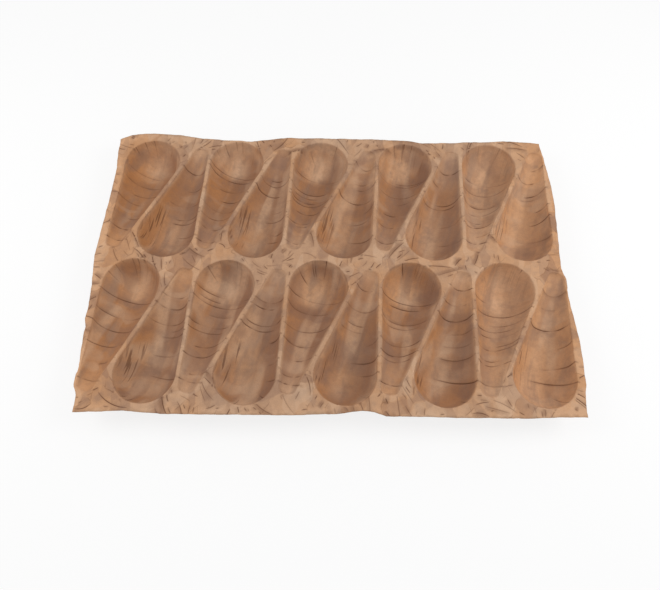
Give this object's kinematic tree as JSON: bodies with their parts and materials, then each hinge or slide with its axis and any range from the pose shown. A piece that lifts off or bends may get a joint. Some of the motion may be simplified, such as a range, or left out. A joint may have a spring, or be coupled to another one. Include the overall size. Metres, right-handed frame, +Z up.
{
  "type": "pulp fruit tray",
  "caption": "Rectangular pressed board tray with teardrop pockets lying head to tail in rows, thin walls, rounded rims and a slightly wavy cut edge, for pears or like fruit.",
  "frame": {"origin": "middle of the footprint, on the surface that the tray stands on", "axes": "+X along the tray's long side, +Y to its far side, +Z up out of the pockets"},
  "size_m": [0.6, 0.4, 0.0342],
  "materials": {
    "board": "matte"
  },
  "bodies": {
    "root": {"tray": "board"}
  },
  "joints": []
}
